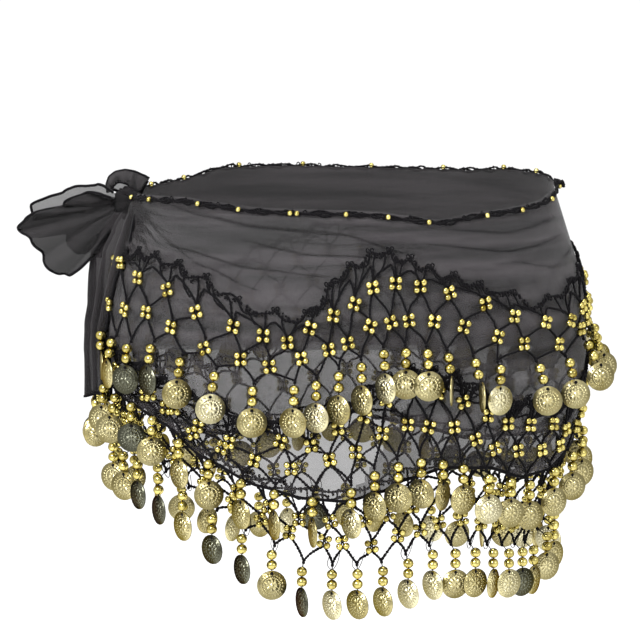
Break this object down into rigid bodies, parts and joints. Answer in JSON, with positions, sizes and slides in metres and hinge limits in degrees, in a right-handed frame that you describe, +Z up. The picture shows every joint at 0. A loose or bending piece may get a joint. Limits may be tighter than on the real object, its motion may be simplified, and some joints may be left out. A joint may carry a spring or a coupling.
{
  "type": "belly dance hip scarf",
  "caption": "Black chiffon hip scarf knotted at one side, in its worn hollow form, with tiers of crochet net hung with gold beads and coins.",
  "frame": {"origin": "middle of the top rim, where the wearer's hips hold the scarf", "axes": "+X to the side away from the knot, -Y to the front, +Z up"},
  "size_m": [0.4111, 0.2776, 0.2925],
  "materials": {
    "chiffon": "sheer black polyester chiffon",
    "crochet": "black crochet yarn",
    "gold": "pale gold plated beads and stamped coins, slightly tarnished"
  },
  "bodies": {
    "root": {"chiffon_front": "chiffon", "chiffon_back": "chiffon", "knot": "chiffon", "knot_ear": "chiffon", "tail_fan": "chiffon", "tail_hanging": "chiffon", "edging_front": "crochet", "edging_back": "crochet", "net_1_front": "crochet", "net_1_back": "crochet", "net_2_front": "crochet", "net_2_back": "crochet", "net_3_front": "crochet", "net_3_back": "crochet", "fringe_1_front": "gold", "fringe_1_back": "gold", "fringe_2_front": "gold", "fringe_2_back": "gold", "fringe_3_front": "gold", "fringe_3_back": "gold", "fringe_tail": "gold"}
  },
  "joints": []
}
